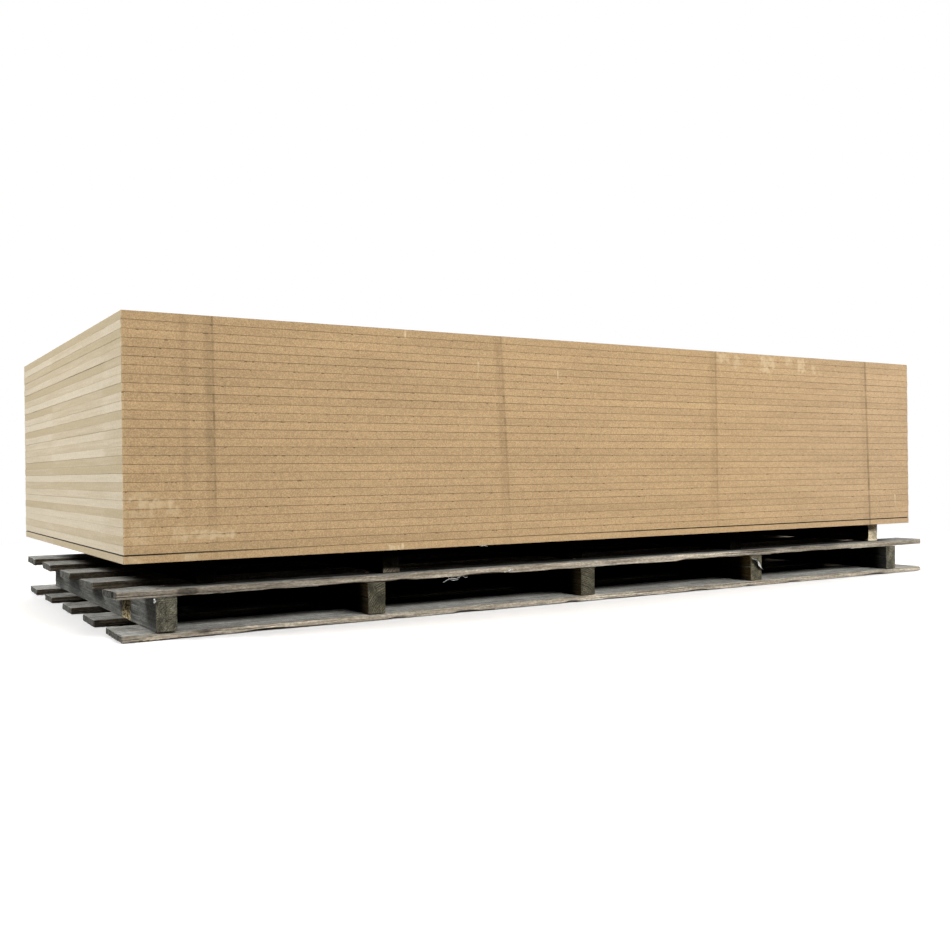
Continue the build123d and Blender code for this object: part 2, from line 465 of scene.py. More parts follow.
# Painted shade under the pack: distances in from the pallet's ends and sides over which its timber darkens
# there
SHADE_FROM_END = (0.05, 0.15)
SHADE_FROM_SIDE = (0.05, 0.17)
STRINGER_FROM_SIDE = (0.0, 0.055)
# How much sooner it does so on the upper deck, and over that towards the pack, and over what height
SHADE_DECK_SHARE = 3.6
SHADE_PACK_SHARE = 3.0
SHADE_PACK_RISE = (0.002, 0.030)
# How much deeper in the upright sides near the right end count, and how bright the darkest places stay
SHADE_RIGHT = 0.12
SHADE_LIGHT = 0.12
DARKEST_LIGHT = 0.05
# Where the sides of the top deck are paler, along X: middle, and half lengths
PALER_MIDDLE_X = -0.12
PALER_REACH = (0.35, 0.70)
# Noise in timber: how closely it repeats along, across and up, its detail and roughness. The first
# kinds follow the wandering grain.
PATH_NOISE = {
    "streak": ((6.0, 120.0, 120.0), 5.0, 0.65),
    "lines": ((9.0, 360.0, 360.0), 2.0, 0.6),
    "fibre": ((16.0, 900.0, 900.0), 2.0, 0.6),
    "veins": ((1.1, 62.0, 62.0), 3.0, 0.55),
    "kerfs": ((70.0, 17.0, 17.0), 5.0, 0.7),
}
BLOCK_NOISE = {
    "speck": ((130.0, 330.0, 330.0), 3.0, 0.65),
    "gate": ((1.8, 16.0, 16.0), 2.0, 0.5),
    "blotch": ((4.5, 16.0, 16.0), 5.0, 0.65),
    "grime": ((14.0, 30.0, 30.0), 5.0, 0.7),
    "splinters": ((120.0, 150.0, 150.0), 3.0, 0.65),
}
WANDER_REPEATS = (1.3, 6.0, 6.0)
WANDER_SHIFT = (0.030, 0.018)
KNOT_REPEATS = (5.0, 13.0, 13.0)
RING_REPEATS = 1300.0


def timber_places(s):
    """A timber's stored values, the way it faces, and the noise in it, along a grain that wanders."""
    p = SimpleNamespace(grain=s.attribute("grain", "Vector"), cross=s.attribute("cross", "Vector"))
    for name in ("cap", "chipped", "torn", "cracked", "tone"):
        setattr(p, name, s.attribute(name, "Fac"))
    p.facing_up = s.facing()[2]
    wander = s.minus(s.noise(s.stretch(p.grain, WANDER_REPEATS), 1), 0.5)
    shift = s.vector(0, s.times(wander, WANDER_SHIFT[0]), s.times(wander, WANDER_SHIFT[1]))
    path = s.node("VectorMath", {0: p.grain, 1: shift}, operation="ADD")
    for coords, kinds in ((path, PATH_NOISE), (p.grain, BLOCK_NOISE)):
        for name, (repeats, detail, roughness) in kinds.items():
            setattr(p, name, s.noise(s.stretch(coords, repeats), 1, detail, roughness))
    return p


def end_grain(s, p, end, dullness):
    """Growth rings round the pith, pores, saw strokes, and cracks that run out from the pith."""
    cross_x, cross_y, cross_z = s.split(p.cross)
    reach = s.length(p.cross)
    wobble = s.times(s.noise(p.cross, 60), 0.006)
    uneven = s.times(s.noise(s.times(reach, 90), 1, 1), 8)
    rings = s.calc("SINE", s.add(s.times(s.add(reach, wobble), RING_REPEATS), uneven))
    clear = s.fade(s.noise(p.cross, 34), 0.40, 0.62)
    rings = s.times(rings, s.vary(clear, p.tone, 0.35, 0.55, 1, 0.25))
    angle = s.calc("ARCTAN2", cross_y, cross_x)
    rays = s.noise(s.vector(s.times(angle, 7), s.times(reach, 7), p.tone), 1, 2, 0.6)
    ray = s.fade(s.apart(rays, 0.5), 0.004, 0.014, 1, 0)
    rising = s.times(s.add(cross_x, cross_y), 60)
    falling = s.times(s.minus(cross_x, cross_y), 420)
    strokes = s.noise(s.vector(rising, falling, p.tone), 1, 3, 0.6)
    light = s.fade(rings, -0.9, 0.9, 0.55, 1.80)
    light = s.vary(light, s.noise(p.cross, 330, 4, 0.7), 0.34, 0.66, 0.52, 1.52)
    light = s.vary(light, s.noise(p.cross, 30, 3, 0.6), 0.34, 0.66, 0.55, 1.45)
    light = s.vary(light, p.tone, 0, 1, 1 - dullness, 1 + 0.3 * dullness)
    light = s.vary(light, strokes, 0.36, 0.64, 0.70, 1.30)
    ends = s.mix(s.times(ray, 0.25), s.shade(end, light), CRACK_BLACK)
    return ends, s.minus(s.times(rings, 0.12), s.times(ray, 0.5))


def shade_under_pack(s, from_side, lean):
    """How far a place lies under the pack, from 0 to 1: the share of painted shade that darkens it there.

    lean moves the place outwards, along X and Y, the way it faces, so that outer sides stay pale,
    and then along X by its last value.
    """
    x, y, z = s.split(s.place())
    facing_x, facing_y, facing_z = s.facing()
    x = s.add(s.add(x, lean[2]), s.times(facing_x, lean[0]))
    y = s.add(y, s.times(facing_y, lean[1]))
    low_down = s.fade(z, DECK_FLOOR - DECK_BLUR, DECK_FLOOR + DECK_BLUR, 1, 0)
    upright = s.fade(s.calc("ABSOLUTE", facing_z), 0.3, 0.7, SHADE_RIGHT, 0)
    from_left = s.minus(x, PALLET_LOW.x)
    from_right = s.add(s.minus(PALLET_HIGH.x, x), s.times(upright, low_down))
    from_end = s.fade(s.calc("MINIMUM", from_left, from_right), *SHADE_FROM_END)
    in_deep = s.calc("MINIMUM", s.minus(y, PALLET_LOW.y), s.minus(PALLET_HIGH.y, y))
    closed = s.fade(low_down, 0, 1, SHADE_DECK_SHARE, 1)
    rise = (DECK_TOP + height for height in SHADE_PACK_RISE)
    closed = s.vary(closed, z, *rise, 1, SHADE_PACK_SHARE)
    return s.times(from_end, s.fade(s.times(in_deep, closed), *from_side))


def paler_middle(s):
    """How far a place on the top deck lies in its paler middle, from 0 to 1."""
    x, y, z = s.split(s.place())
    reached = s.fade(s.apart(x, PALER_MIDDLE_X), *PALER_REACH, 1, 0)
    return s.vary(reached, z, DECK_FLOOR - DECK_BLUR, DECK_FLOOR + DECK_BLUR, 0, 1)


def timber_light(s, p, wear, mottle, dullness, kerf):
    """How bright a timber's faces are: streaks, fibre, blotches, knots and the saw's marks."""
    light = s.fade(p.streak, 0.34, 0.66, 1 - 0.34 * wear, 1 + 0.32 * wear)
    light = s.vary(light, p.lines, 0.34, 0.66, 1 - 0.34 * wear, 1 + 0.32 * wear)
    light = s.vary(light, p.fibre, 0.30, 0.70, 0.84, 1.16)
    light = s.vary(light, p.speck, 0.34, 0.66, 1 - 0.40 * wear, 1 + 0.36 * wear)
    light = s.vary(light, p.blotch, 0.34, 0.66, 1 - 0.50 * mottle, 1 + 0.42 * mottle)
    light = s.vary(light, p.tone, 0, 1, 1 - dullness, 1 + 0.3 * dullness)
    knot = s.node("TexVoronoi", {"Vector": s.stretch(p.grain, KNOT_REPEATS), "Scale": 1})
    light = s.vary(light, s.fade(knot, 0.08, 0.15, 1, 0), 0, 1, 1, 0.40)
    wide = s.fade(s.calc("ABSOLUTE", p.facing_up), 0.5, 0.8)
    marks = s.fade(p.kerfs, 0.34, 0.66, 1 - kerf, 1 + 0.9 * kerf)
    return s.times(light, s.between(wide, 1, marks))


def timber_material(
    name, top, side, under, end, wear, mottle, dullness,
    kerf=0.0, middle_pale=1.0, from_side=SHADE_FROM_SIDE, lean=(0.0, 0.0, 0.0), dim=SHADE_LIGHT,
):
    """Timber: streaks, fibre, cracks and knots along the grain, rings on the ends.

    top, side, under and end are its colours. wear is how far the weather has opened the grain, mottle
    how blotched the faces are, dullness how much darker some of the timbers are than others, and kerf
    how far the saw's marks show across the wide faces. middle_pale is how much paler the top deck's sides
    are along their middle. from_side and lean go to shade_under_pack, the painted shade under the pack,
    and dim is how bright that painted shade leaves them.
    """
    s = new_material(name)
    p = timber_places(s)
    gate = s.fade(p.gate, 0.44, 0.54)
    crack = s.times(s.fade(s.apart(p.veins, 0.5), 0.004, 0.016, 1, 0), gate)
    crack = s.calc("MAXIMUM", s.times(crack, wear), s.fade(p.cracked, 0.15, 0.6))

    flank = s.mix(s.fade(p.streak, 0.40, 0.58, 0.45 * wear, 0), side, under)
    flank = s.shade(flank, s.fade(paler_middle(s), 0, 1, 1, middle_pale))
    base = s.mix(s.fade(p.facing_up, 0.25, 0.7), flank, top)
    base = s.mix(s.fade(p.facing_up, -0.7, -0.25, 1, 0), base, under)
    base = s.mix(s.times(p.chipped, 0.6), base, CHIP_TAN)
    base = s.shade(base, timber_light(s, p, wear, mottle, dullness, kerf))
    base = s.mix(s.fade(p.grime, 0.54, 0.68, 0, 0.75 * mottle), base, GRIME)
    base = s.mix(s.times(crack, 0.9), base, CRACK_BLACK)
    ends, end_relief = end_grain(s, p, end, dullness)
    base = s.mix(p.cap, base, ends)
    fresh = s.mix(s.fade(p.splinters, 0.42, 0.58), TORN_DARK, TORN_PALE)
    base = s.mix(s.times(p.torn, 0.95), base, fresh)
    # Painted shade under the pack: the timber is darkened there and loses its sheen.
    painted_shade = shade_under_pack(s, from_side, lean)
    base = s.shade(base, s.fade(painted_shade, 0, 1, 1, dim))

    relief = s.add(s.times(p.streak, 0.4), s.add(s.times(p.lines, 0.25), s.times(p.fibre, 0.12)))
    relief = s.minus(relief, s.times(crack, 0.45))
    s.bump(s.mix(p.cap, relief, end_relief), 0.0030, 0.8)
    return s.paint(base, 0.88, s.fade(painted_shade, 0, 1, SPECULAR, 0))


# Rough timbers: grid steps along and across, grid lines near each edge and the least room between lines
STEP_ALONG = 0.010
STEP_ACROSS = 0.008
EDGE_LINES = (0.0, 0.0014, 0.0038, 0.0080)
LEAST_STEP = 0.0007
TOUCH = 1e-6
# Rounding, chips, waves and frayed ends, in metres, and the share of a side that rounding may take
EDGE_ROUND = 0.0013
END_ROUND = 0.0020
ROUND_SHARE = 0.42
CHIP_DEPTH = 0.0055
CHIP_SPREAD = 2.4
CHIP_FROM = 0.60
CHIP_RANGE = 0.28
WAVE_DEPTH = 0.0022
RIDGE_DEPTH = 0.0008
FRAY_DEPTH = 0.0045
FRAY_LEAST = 0.3
WANDER_ACROSS = 0.0060
WANDER_UP = 0.0016
# How closely the wear's noise repeats along, across and up
DRIFT_REPEATS = (1.7, 0.0, 0.0)
CHIP_REPEATS = (16.0, 7.0, 0.0)
EDGE_FRAY_REPEATS = (4.0, 1.0, 1.0)
WAVE_REPEATS = (5.0, 14.0, 14.0)
RIDGE_REPEATS = (7.0, 240.0, 240.0)
END_FRAY_REPEATS = (0.0, 150.0, 190.0)
PIT_REPEATS = (160.0, 160.0, 90.0)
RAGGED_REPEATS = (0.0, 90.0, 90.0)
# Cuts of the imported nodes: how far out a ray starts, how far in it looks, the least depth that
# counts, and the depth of a split, and from which depth a cut is one
CAST_ROOM = 0.005
CAST_REACH = 0.014
CUT_LEAST = 0.0012
SPLIT_DEPTH = 0.0080
SPLIT_OPEN = 0.0060
# Grid lines across the front plank that its two splits need
SPLIT_LINES = (0.0327, 0.0343, 0.0359, 0.0612, 0.0628, 0.0644)
# Drying cracks: how many on the upper, under, near and far face of a plank, and their sizes
CRACK_COUNTS = (4, 2, 2, 2)
CRACK_HALF_WIDTH = 0.0013
CRACK_DEPTH = 0.0055
CRACK_LENGTHS = (0.15, 0.70)
# How pale each bearer and each stringer is, left to right, and each plank, front to back
# The bearers that the pack covers get near-black tones as painted shade; only the right one keeps its pale
# timber.
BEARER_SHADE_TONES = (0.0, 0.05, 0.1, 0.2, 1.0)
STRINGER_TONES = (0.50, 0.26, 0.14, 0.60, 0.45)
TOP_TONES = (0.32, 1.0, 1.0, 0.9, 1.0)
BOTTOM_TONES = (0.95, 0.6, 0.8, 0.9, 0.7)
# The two outer stringers are weathered grey
OUTER_STRINGERS = (0, 4)
# How far the timbers behind the two front planks are chipped, against those
HIDDEN_WEAR = 0.3
# Where the front bottom plank's lower edge is rubbed bare, from its left end
BARE_EDGE = (0.030, 0.064)
# Where the left stringer's outer side is torn, from its front end, how ragged, and its pits' depth
TORN_REACH = (0.208, 0.300)
TORN_RAGGED = 0.012
TORN_PIT = 0.0045
# The first seed of each kind of timber
BEARER_SEED = 11
STRINGER_SEED = 31
TOP_SEED = 51
BOTTOM_SEED = 71


def lattice(cell, seed):
    """A steady random value from 0 to 1 for each row of whole numbers."""
    mixed = cell[:, 0] * 374761393 + cell[:, 1] * 668265263 + cell[:, 2] * 1440662683 + seed * 974634777
    mixed = mixed & 0xFFFFFFFF
    mixed = ((mixed ^ (mixed >> 13)) * 1274126177) & 0xFFFFFFFF
    return ((mixed ^ (mixed >> 16)) & 0xFFFF) / 65535.0


def smooth_noise(points, seed):
    """Smooth noise from 0 to 1 at each point."""
    cell = np.floor(points).astype(np.int64)
    part = points - cell
    part = part * part * (3.0 - 2.0 * part)
    total = np.zeros(len(points))
    for corner in itertools.product((0, 1), repeat=3):
        weight = np.prod(np.where(corner, part, 1.0 - part), axis=1)
        total += weight * lattice(cell + np.array(corner), seed)
    return total


def grid_lines(length, step, extra=()):
    """Places of the grid's lines along one side: close together at its two edges."""
    near = [line for line in EDGE_LINES if line < length * 0.45]
    count = max(1, round((length - 2 * near[-1]) / step))
    inside = np.linspace(near[-1], length - near[-1], count + 1)
    kept = []
    for place in sorted([*near, *(length - line for line in near), *inside, *extra]):
        if place in extra or not any(abs(place - other) < LEAST_STEP for other in [*kept, *extra]):
            kept.append(place)
    return np.array(kept)


def shell(counts):
    """The points on the outside of a block of grid points, and the faces between them."""
    index = np.full(counts, -1)
    steps = np.indices(counts)
    outside = np.zeros(counts, bool)
    for axis in range(3):
        outside |= (steps[axis] == 0) | (steps[axis] == counts[axis] - 1)
    index[outside] = np.arange(outside.sum())
    sides = (
        (index[:, :, -1], False), (index[:, :, 0], True), (index[:, 0, :], False),
        (index[:, -1, :], True), (index[0, :, :], True), (index[-1, :, :], False),
    )
    faces = []
    for plane, turned in sides:
        corners = (plane[:-1, :-1], plane[1:, :-1], plane[1:, 1:], plane[:-1, 1:])
        quads = np.stack(corners, -1).reshape(-1, 4)
        faces.append(quads[:, ::-1] if turned else quads)
    return np.argwhere(outside), np.concatenate(faces)


def end_places(node, axis):
    """A timber's box, and where it starts and stops along an axis at each of its two sides."""
    points = np.array([vertex.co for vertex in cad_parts[node].data.vertices])
    other = 1 - axis
    low, high = points.min(0), points.max(0)
    near = points[points[:, other] < low[other] + 0.004][:, axis]
    far = points[points[:, other] > high[other] - 0.004][:, axis]
    return low, high, (near.min(), near.max()), (far.min(), far.max())


def to_world(points, ends, axis):
    """Points along, across and up a timber, in the row's frame."""
    low, high, near, far = ends
    other = 1 - axis
    share = points[:, 1] / (high[other] - low[other])
    first = near[0] + (far[0] - near[0]) * share
    last = near[1] + (far[1] - near[1]) * share
    world = np.empty_like(points)
    world[:, axis] = first + (last - first) * points[:, 0] / (high[axis] - low[axis])
    world[:, other] = low[other] + points[:, 1]
    world[:, 2] = low[2] + points[:, 2]
    return world


def depth_under(node, places, outward):
    """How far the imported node's surface lies in from each place, looking straight in."""
    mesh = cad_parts[node].data
    tree = BVHTree.FromPolygons([v.co for v in mesh.vertices], [p.vertices for p in mesh.polygons])
    depths = np.zeros(len(places))
    for number, (place, direction) in enumerate(zip(places, outward)):
        start = Vector(place + direction * CAST_ROOM)
        distance = tree.ray_cast(start, Vector(-direction), CAST_ROOM + CAST_REACH)[3]
        depths[number] = SPLIT_DEPTH if distance is None else max(0.0, distance - CAST_ROOM)
    return np.where(depths < CUT_LEAST, 0.0, depths)


def drying_cracks(random, counts, size):
    """Cracks along a timber: the axis they are spread over, side, place, middle, half length."""
    cracks = []
    for face, count in enumerate(counts):
        spread_axis = 1 if face < 2 else 2
        side_axis = 3 - spread_axis
        side = size[side_axis] if face in (0, 3) else 0.0
        for number in range(count):
            share = (number + random.uniform(0.25, 0.75)) / count
            place = size[spread_axis] * (0.18 + 0.64 * share)
            middle = random.choice((0.0, size[0], *random.uniform(0.1, 0.9, 2) * size[0]))
            cracks.append((spread_axis, side, place, middle, random.uniform(*CRACK_LENGTHS) / 2))
    return cracks


def crack_strength(local, cracks):
    """How open a crack is at each point of a timber, from 0 to 1."""
    open_share = np.zeros(len(local))
    for spread_axis, side, place, middle, half in cracks:
        on_face = np.abs(local[:, 3 - spread_axis] - side) < TOUCH
        on_line = np.abs(local[:, spread_axis] - place) < TOUCH
        taper = np.sqrt(np.clip(1.0 - np.abs(local[:, 0] - middle) / half, 0.0, 1.0))
        open_share = np.maximum(open_share, np.where(on_face & on_line, taper, 0.0))
    return open_share


def crack_lines(cracks, spread_axis):
    """Grid lines that a timber's cracks need across one of its axes."""
    places = [crack[2] for crack in cracks if crack[0] == spread_axis]
    return [place + step * CRACK_HALF_WIDTH for place in places for step in (-1, 0, 1)]


def bend(local, size, offset, seed, follow):
    """A timber's grid, moved as the grain wanders, and the cracks with it."""
    along, across, up = local.T
    drift_place = np.stack([along * repeats for repeats in DRIFT_REPEATS], -1)
    drift = smooth_noise(drift_place + offset, seed + 6) - 0.5
    bent = local.copy()
    if not follow:
        bent[:, 1] += 2.0 * WANDER_ACROSS * drift * np.sin(np.pi * across / size[1])
    bent[:, 2] += 2.0 * WANDER_UP * drift * np.sin(np.pi * up / size[2])
    return bent


def round_edges(local, bent, size, offset, seed, worn):
    """Points with the block's edges rounded, the way out from each, and where a chip is out of them."""
    along, across, up = local.T
    corner = (across > size[1] / 2) + 2.0 * (up > size[2] / 2)
    edge_place = np.stack((along, corner, corner), -1) * np.array(CHIP_REPEATS)
    edge_place = edge_place + np.array((0.0, 0.0, 0.5)) + offset
    chip = np.clip((smooth_noise(edge_place, seed) - CHIP_FROM) / CHIP_RANGE, 0.0, 1.0) * worn
    fray = smooth_noise(edge_place * np.array(EDGE_FRAY_REPEATS), seed + 1)
    round_up = np.minimum(EDGE_ROUND * (0.5 + fray) + CHIP_DEPTH * chip, ROUND_SHARE * size[2])
    round_across = np.minimum(round_up * (1.0 + CHIP_SPREAD * chip), ROUND_SHARE * size[1])
    radii = np.stack((np.full(len(along), END_ROUND), round_across, round_up), -1)
    inner = np.clip(bent, radii, size - radii)
    reach = (bent - inner) / radii
    outward = reach / np.linalg.norm(reach, axis=1, keepdims=True)
    on_edge = reach[:, 1] * reach[:, 2] != 0
    return inner + radii * outward, outward, chip * on_edge


def wear_depth(local, outward, capped, offset, seed, worn, sawn):
    """How far the weather has worn each point in along its own direction, and frayed the ends."""
    wave = smooth_noise(local * np.array(WAVE_REPEATS) + offset, seed + 2)
    ridge = smooth_noise(local * np.array(RIDGE_REPEATS) + offset, seed + 3)
    fibres = smooth_noise(local * np.array(END_FRAY_REPEATS) + offset, seed + 4)
    frayed = FRAY_DEPTH * (FRAY_LEAST + (1.0 - FRAY_LEAST) * worn) * fibres
    depth = WAVE_DEPTH * worn * wave + np.where(capped, frayed, RIDGE_DEPTH * ridge)
    return depth * (1.0 - np.abs(outward[:, 2])) if sawn else depth


def tear_cover(local, cut, offset, seed):
    """Where a stringer's outer side is torn to fresh wood, from 0 to 1."""
    along, across = local[:, 0], local[:, 1]
    ragged = TORN_RAGGED * smooth_noise(local * np.array(RAGGED_REPEATS) + offset, seed + 7)
    on_tear = (along > TORN_REACH[0] + ragged) & (along < TORN_REACH[1] - ragged)
    return np.maximum(np.clip((cut - CUT_LEAST) / CUT_LEAST, 0.0, 1.0), on_tear & (across < TOUCH))


def rough_timber(
    node, axis, seed, material, slot, tone,
    crack_counts=(1, 1, 1, 1), sawn=False, worn=1.0, follow=False, extra=(), bare=(0.0, 0.0),
):
    """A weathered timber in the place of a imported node, worn inwards from its box.

    tone is how pale it is. A sawn one keeps its upper and under face. worn is how far its edges are
    chipped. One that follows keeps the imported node's own cuts, for which extra grid lines are given.
    bare is where its lower near edge is rubbed to fresh wood.
    """
    ends = end_places(node, axis)
    low, high = ends[:2]
    size = np.array((high[axis] - low[axis], high[1 - axis] - low[1 - axis], high[2] - low[2]))
    random = np.random.default_rng(seed)
    offset = random.uniform(0.0, 40.0, 3)
    cracks = drying_cracks(random, crack_counts, size)
    lines = (
        grid_lines(size[0], STEP_ALONG),
        grid_lines(size[1], STEP_ACROSS, [*extra, *crack_lines(cracks, 1)]),
        grid_lines(size[2], STEP_ACROSS, crack_lines(cracks, 2)),
    )
    steps, faces = shell(tuple(len(line) for line in lines))
    local = np.stack([lines[k][steps[:, k]] for k in range(3)], -1)
    along, across, up = local.T
    capped = (steps[:, 0] == 0) | (steps[:, 0] == len(lines[0]) - 1)

    bent = bend(local, size, offset, seed, follow)
    shaped, outward, chipped = round_edges(local, bent, size, offset, seed, worn)
    open_share = np.where(capped, 0.0, crack_strength(local, cracks))
    depth = wear_depth(local, outward, capped, offset, seed, worn, sawn)
    depth += CRACK_DEPTH * open_share
    torn = np.zeros(len(local))
    if follow:
        direction = np.empty_like(outward)
        direction[:, axis], direction[:, 1 - axis], direction[:, 2] = outward.T
        cut = depth_under(node, to_world(bent, ends, axis), direction)
        if axis == 0:
            open_share = np.maximum(open_share, cut > SPLIT_OPEN)
        else:
            torn = tear_cover(local, cut, offset, seed)
        pits = smooth_noise(local * np.array(PIT_REPEATS) + offset, seed + 5)
        depth += cut + TORN_PIT * torn * pits
    world = to_world(shaped - outward * depth[:, None], ends, axis)
    on_bare = (along > bare[0]) & (along < bare[1]) & (across < size[1] / 2) & (up < EDGE_LINES[2] + TOUCH)

    piece = build_piece(node + "_rough", world, faces if axis == 0 else faces[:, ::-1], material)
    pith_across = size[1] * random.uniform(-0.8, 1.8)
    pith_up = -max(size[1], size[2]) * random.uniform(0.2, 1.0)
    cross = np.stack((across - pith_across, up - pith_up, np.zeros(len(up))), -1)
    fresh = np.maximum(torn, on_bare)
    tones = np.full(len(local), tone)
    put_values(piece, "FLOAT_VECTOR", "vector", grain=local + offset, cross=cross)
    put_values(piece, "FLOAT", "value", cap=capped, chipped=chipped, torn=fresh)
    put_values(piece, "FLOAT", "value", cracked=open_share, tone=tones)
    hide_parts(node)


def put_values(piece, kind, key, **values):
    """Store values for each of a piece's points, for its material to read."""
    for name, each in values.items():
        attribute = piece.data.attributes.new(name, kind, "POINT")
        attribute.data.foreach_set(key, np.asarray(each, np.float32).ravel())


def new_object(name, data):
    """An object in the scene."""
    made = bpy.data.objects.new(name, data)
    bpy.context.scene.collection.objects.link(made)
    return made


def build_piece(name, points, faces, material):
    """A smooth mesh that belongs to the object."""
    mesh = bpy.data.meshes.new(name)
    mesh.from_pydata(points.tolist(), [], [face.tolist() for face in faces])
    mesh.shade_smooth()
    mesh.materials.append(material)
    piece = new_object(name, mesh)
    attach(piece, "root")
    return piece


# Torn film and loose fibres: the slot they belong to, width, and the line that each follows
SCRAPS = {
    "film_strip": ("pallet_timber", 0.0190, (
        (0.4985, -0.6012, 0.081), (0.508, -0.6035, 0.075), (0.518, -0.6030, 0.068),
        (0.529, -0.6035, 0.058), (0.540, -0.6015, 0.047),
    )),
    "film_curl": ("pallet_timber", 0.0036, (
        (-1.1852, -0.5990, 0.0850), (-1.1872, -0.6014, 0.0826), (-1.1848, -0.6030, 0.0806),
        (-1.1876, -0.6024, 0.0782), (-1.1862, -0.6012, 0.0764),
    )),
    "film_shred": ("pallet_timber", 0.0040, (
        (-0.345, -0.6005, 0.089), (-0.336, -0.6030, 0.091), (-0.327, -0.6020, 0.094),
        (-0.318, -0.6035, 0.093),
    )),
    "fibre_long": ("pallet_timber", 0.0018, (
        (-0.518, -0.602, 0.075), (-0.508, -0.603, 0.080), (-0.496, -0.602, 0.084),
        (-0.482, -0.603, 0.083), (-0.468, -0.601, 0.087),
    )),
    "fibre_short": ("pallet_timber", 0.0016, (
        (-0.503, -0.600, 0.087), (-0.497, -0.603, 0.081), (-0.488, -0.604, 0.079),
        (-0.476, -0.603, 0.081),
    )),
    "fibre_end": ("pallet_timber", 0.0015, (
        (-0.462, -0.600, 0.087), (-0.456, -0.602, 0.083), (-0.450, -0.603, 0.085),
    )),
    "fibre_board": ("mdf", 0.0024, (
        (-0.427, -0.6095, 0.161), (-0.418, -0.6100, 0.157), (-0.408, -0.6098, 0.158),
        (-0.397, -0.6095, 0.155),
    )),
}
SCRAP_THICKNESS = 0.0005
SCRAP_STEPS = 6
FILM_CLEAR = 0.15


def film_material():
    """Thin whitish plastic film, creased and a little dirty."""
    s = new_material("film")
    crease = s.noise(s.stretch(s.place(), (420, 420, 160)), 1, 3, 0.6)
    s.bump(crease, 0.0015, 0.7)
    s.feed(s.surface("Transmission Weight"), FILM_CLEAR)
    return s.paint(s.mix(s.fade(crease, 0.35, 0.65), FILM_DIRTY, FILM_WHITE), 0.35)


def smooth_line(points):
    """More points along a line, on curves through the given ones."""
    points = np.array(points)
    ends = np.concatenate((2 * points[:1] - points[1:2], points, 2 * points[-1:] - points[-2:-1]))
    line = []
    for p0, p1, p2, p3 in zip(ends, ends[1:], ends[2:], ends[3:]):
        for t in np.arange(SCRAP_STEPS) / SCRAP_STEPS:
            curve = 2 * p0 - 5 * p1 + 4 * p2 - p3
            twist = 3 * p1 - p0 - 3 * p2 + p3
            line.append(p1 + 0.5 * t * ((p2 - p0) + t * (curve + t * twist)))
    return np.array([*line, points[-1]])


def ribbon(name, width, points, material):
    """A thin strip along a line, narrower at its far end and turning a little on the way."""
    line = smooth_line(points)
    heading = np.gradient(line, axis=0)
    heading /= np.linalg.norm(heading, axis=1, keepdims=True)
    share = np.linspace(0.0, 1.0, len(line))
    turn = 0.6 * np.sin(2.2 * np.pi * share)
    lean = np.stack((np.full(len(line), 0.35), turn - 0.6, 1.0 - 0.4 * share), -1)
    sideways = np.cross(heading, lean)
    sideways /= np.linalg.norm(sideways, axis=1, keepdims=True)
    upright = np.cross(sideways, heading)
    half = (0.5 * width * (0.35 + 0.65 * np.sin(np.pi * (0.26 + 0.66 * share))))[:, None]
    thick = 0.5 * min(SCRAP_THICKNESS, width / 2)
    signs = ((-1, -1), (1, -1), (1, 1), (-1, 1))
    corners = [line + a * half * sideways + b * thick * upright for a, b in signs]
    rows = np.arange(len(line))
    faces = []
    for side in range(4):
        first = rows * 4 + side
        second = rows * 4 + (side + 1) % 4
        faces.append(np.stack((first[:-1], second[:-1], second[1:], first[1:]), -1))
    last = 4 * (len(line) - 1)
    faces.append(np.array(((3, 2, 1, 0), (last, last + 1, last + 2, last + 3))))
    piece = build_piece(name, np.stack(corners, 1).reshape(-1, 3), np.concatenate(faces), material)


# Nail heads: how far in from each side of a crossing, radius, height, sides and sink, and the share of
# its height that a head's shoulder lies under its crown, and of its radius that the crown takes
NAIL_SHARES = ((0.24, 0.22), (0.76, 0.78))
NAIL_RADIUS = 0.0042
NAIL_HEIGHT = 0.0012
NAIL_SIDES = 12
NAIL_SINK = 0.0003
NAIL_SHOULDER = 0.35
NAIL_CROWN = 0.55


def nail_material():
    """Rusted steel."""
    s = new_material("nail")
    rust = s.noise(s.place(), 700, 4, 0.7)
    s.bump(rust, 0.0006, 0.6)
    s.feed(s.surface("Metallic"), 0.5)
    base = s.mix(s.fade(rust, 0.4, 0.6), RUST, STEEL)
    return s.paint(base, s.fade(rust, 0.35, 0.65, 0.8, 0.5))


def nail_shape():
    """One low domed nail head: its points, and its faces in rows."""
    angles = np.arange(NAIL_SIDES) * 2.0 * np.pi / NAIL_SIDES
    circle = np.stack((np.cos(angles), np.sin(angles), 0.0 * angles), -1) * NAIL_RADIUS
    foot = np.array((0.0, 0.0, -NAIL_HEIGHT))
    shoulder = np.array((0.0, 0.0, -NAIL_SHOULDER * NAIL_HEIGHT))
    points = np.concatenate((circle + foot, circle + shoulder, circle * NAIL_CROWN, np.zeros((1, 3))))
    around = np.arange(NAIL_SIDES)
    following = (around + 1) % NAIL_SIDES
    band = np.stack((around, following, following + NAIL_SIDES, around + NAIL_SIDES), -1)
    tip = np.full(NAIL_SIDES, 3 * NAIL_SIDES)
    crown = np.stack((around + 2 * NAIL_SIDES, following + 2 * NAIL_SIDES, tip), -1)
    return points, (band, band + NAIL_SIDES, crown)


